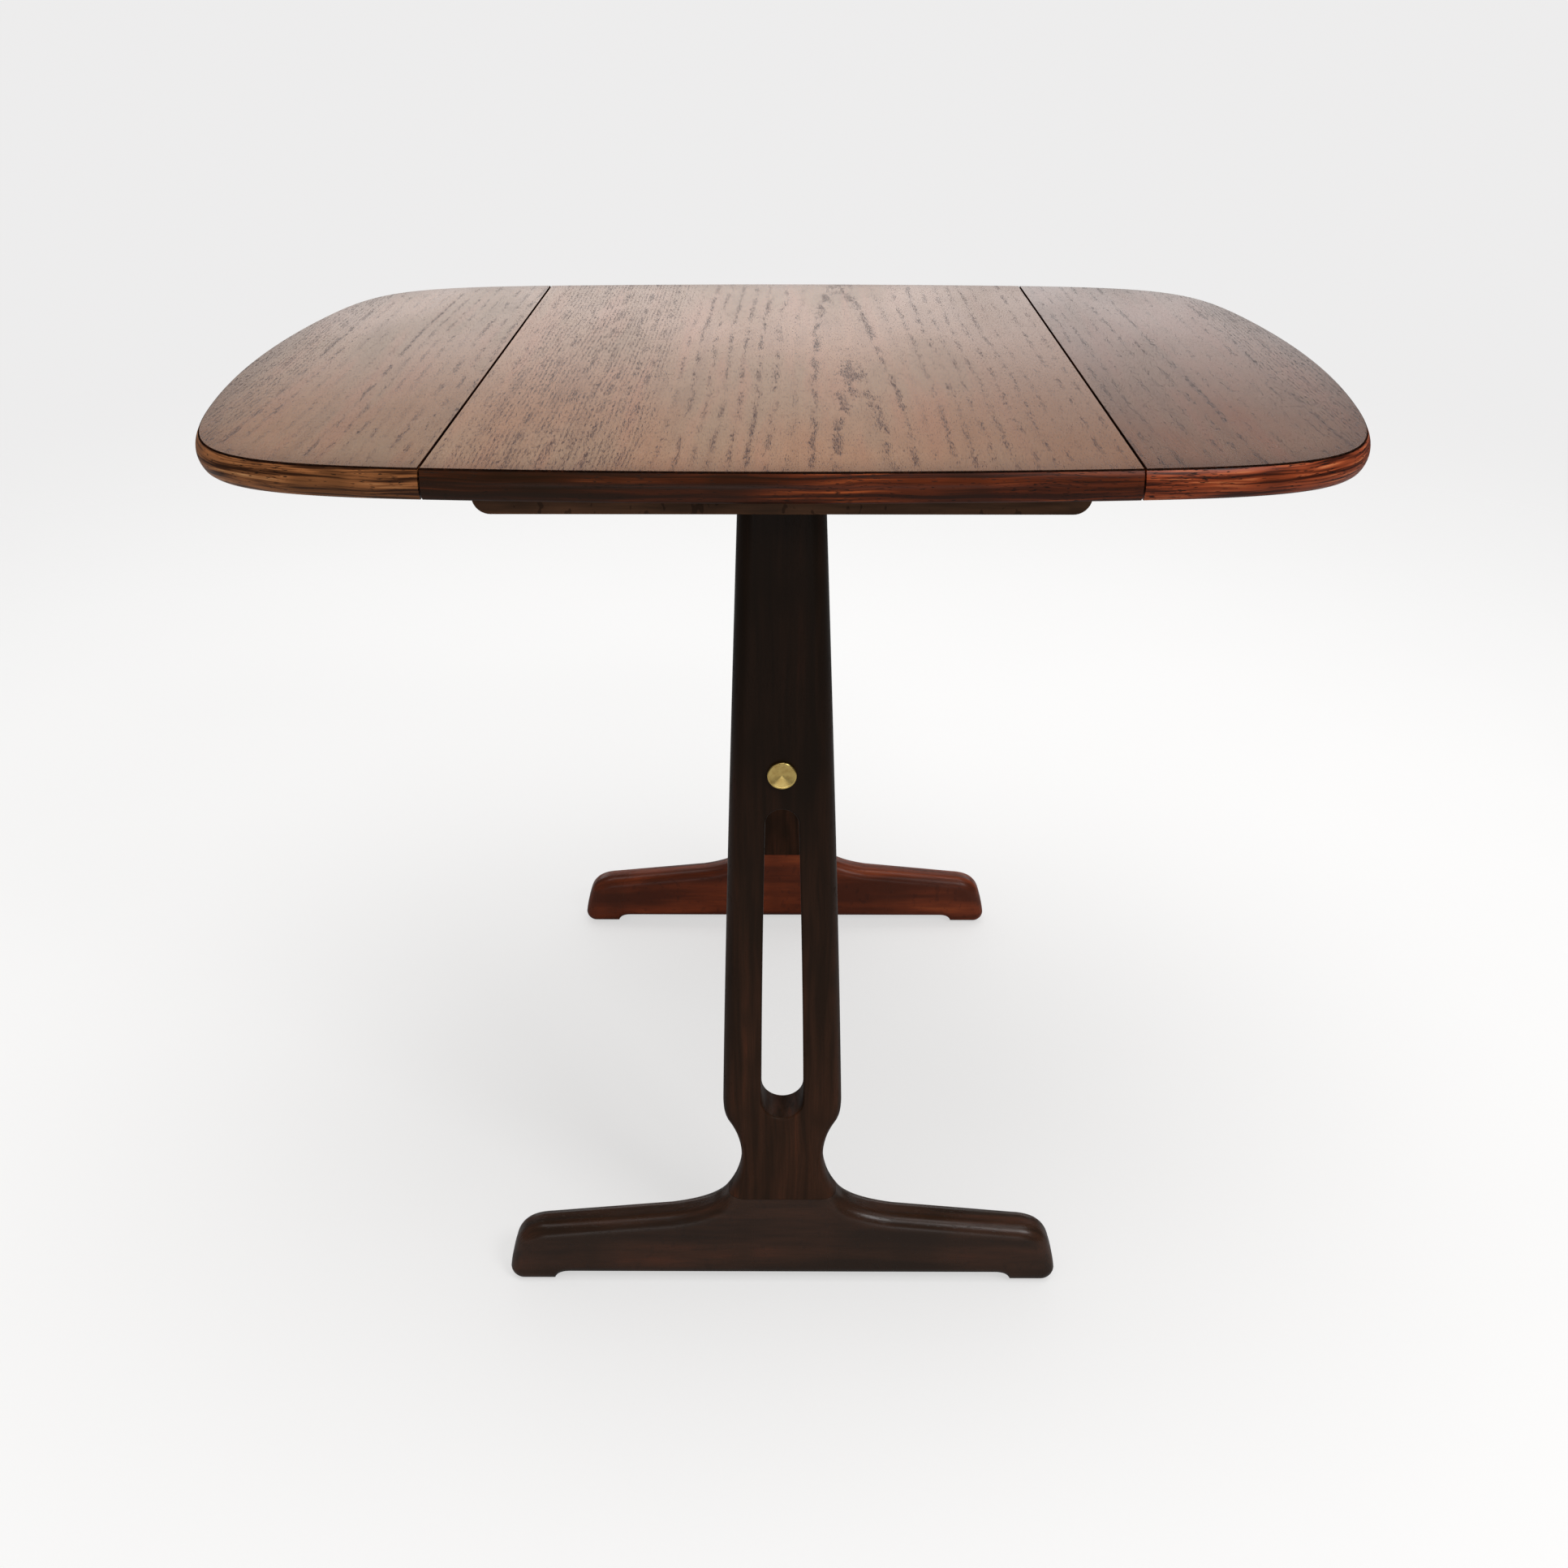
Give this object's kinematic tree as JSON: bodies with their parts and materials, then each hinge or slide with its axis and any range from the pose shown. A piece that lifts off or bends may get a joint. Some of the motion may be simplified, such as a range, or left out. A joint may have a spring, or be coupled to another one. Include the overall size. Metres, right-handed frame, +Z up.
{
  "type": "drop leaf table",
  "caption": "Small drop leaf table: boat-shaped top with a fixed centre board and hinged side leaves, on slotted pedestal ends with long feet and a bolted stretcher.",
  "frame": {"origin": "on the floor, under the centre of the top", "axes": "+X to the right across the leaves, +Y to the rear along the seams, +Z up"},
  "size_m": [0.65, 0.506, 0.534],
  "materials": {
    "top_veneer": "satin oiled rosewood-stained veneer, grain along the seams",
    "edge_lipping": "satin solid red-brown lipping, grain along the edge",
    "pedestal_wood": "satin dark espresso-stained hardwood",
    "joinery_beech": "raw beech",
    "brass": "turned and lacquered",
    "steel": "zinc plated"
  },
  "bodies": {
    "frame": {"centre_panel": "top_veneer", "front_end_lipping": "edge_lipping", "rear_end_lipping": "edge_lipping", "stretcher": "pedestal_wood", "front_leg": "pedestal_wood", "front_foot": "pedestal_wood", "front_foot_tenon": "joinery_beech", "front_bearer": "pedestal_wood", "front_bearer_tenon": "joinery_beech", "front_bearer_screw_left": "steel", "front_bearer_screw_right": "steel", "front_stretcher_bolt": "brass", "front_barrel_nut": "steel", "front_stretcher_dowel": "joinery_beech", "rear_leg": "pedestal_wood", "rear_foot": "pedestal_wood", "rear_foot_tenon": "joinery_beech", "rear_bearer": "pedestal_wood", "rear_bearer_tenon": "joinery_beech", "rear_bearer_screw_left": "steel", "rear_bearer_screw_right": "steel", "rear_stretcher_bolt": "brass", "rear_barrel_nut": "steel", "rear_stretcher_dowel": "joinery_beech", "left_front_hinge_board_plate": "brass", "left_front_hinge_pin": "steel", "left_rear_hinge_board_plate": "brass", "left_rear_hinge_pin": "steel", "left_stay_board_bracket": "brass", "left_stay_board_rivet": "steel", "right_front_hinge_board_plate": "brass", "right_front_hinge_pin": "steel", "right_rear_hinge_board_plate": "brass", "right_rear_hinge_pin": "steel", "right_stay_board_bracket": "brass", "right_stay_board_rivet": "steel"},
    "left_leaf": {"left_leaf": "top_veneer", "left_leaf_lipping": "edge_lipping", "left_front_hinge_leaf_plate": "brass", "left_rear_hinge_leaf_plate": "brass", "left_stay_leaf_bracket": "brass", "left_stay_leaf_rivet": "steel"},
    "left_inner_arm": {"left_stay_inner_arm": "brass", "left_stay_elbow_bolt": "steel", "left_stay_thumb_nut": "brass"},
    "left_outer_arm": {"left_stay_outer_arm": "brass"},
    "right_leaf": {"right_leaf": "top_veneer", "right_leaf_lipping": "edge_lipping", "right_front_hinge_leaf_plate": "brass", "right_rear_hinge_leaf_plate": "brass", "right_stay_leaf_bracket": "brass", "right_stay_leaf_rivet": "steel"},
    "right_inner_arm": {"right_stay_inner_arm": "brass", "right_stay_elbow_bolt": "steel", "right_stay_thumb_nut": "brass"},
    "right_outer_arm": {"right_stay_outer_arm": "brass"}
  },
  "joints": [
    {"name": "left_leaf_hinge", "type": "hinge", "parent": "frame", "child": "left_leaf", "pos_m": [-0.175, 0, 0.5152], "axis": [0, -1, 0], "range_deg": [0, 90]},
    {"name": "left_stay_board_pivot", "type": "hinge", "parent": "frame", "child": "left_inner_arm", "pos_m": [-0.11376, 0, 0.5055], "axis": [0, -1, 0], "range_deg": [0, 90]},
    {"name": "left_stay_elbow", "type": "hinge", "parent": "left_inner_arm", "child": "left_outer_arm", "pos_m": [-0.175, 0, 0.4958], "axis": [0, 1, 0], "range_deg": [0, 90]},
    {"name": "right_leaf_hinge", "type": "hinge", "parent": "frame", "child": "right_leaf", "pos_m": [0.175, 0, 0.5152], "axis": [0, 1, 0], "range_deg": [0, 90]},
    {"name": "right_stay_board_pivot", "type": "hinge", "parent": "frame", "child": "right_inner_arm", "pos_m": [0.11376, 0, 0.5055], "axis": [0, 1, 0], "range_deg": [0, 90]},
    {"name": "right_stay_elbow", "type": "hinge", "parent": "right_inner_arm", "child": "right_outer_arm", "pos_m": [0.175, 0, 0.4958], "axis": [0, -1, 0], "range_deg": [0, 90]}
  ],
  "couplings": [
    {"joint": "left_stay_board_pivot", "follows": "left_leaf_hinge", "ratio": 1},
    {"joint": "left_stay_elbow", "follows": "left_leaf_hinge", "ratio": 1},
    {"joint": "right_stay_board_pivot", "follows": "right_leaf_hinge", "ratio": 1},
    {"joint": "right_stay_elbow", "follows": "right_leaf_hinge", "ratio": 1}
  ]
}
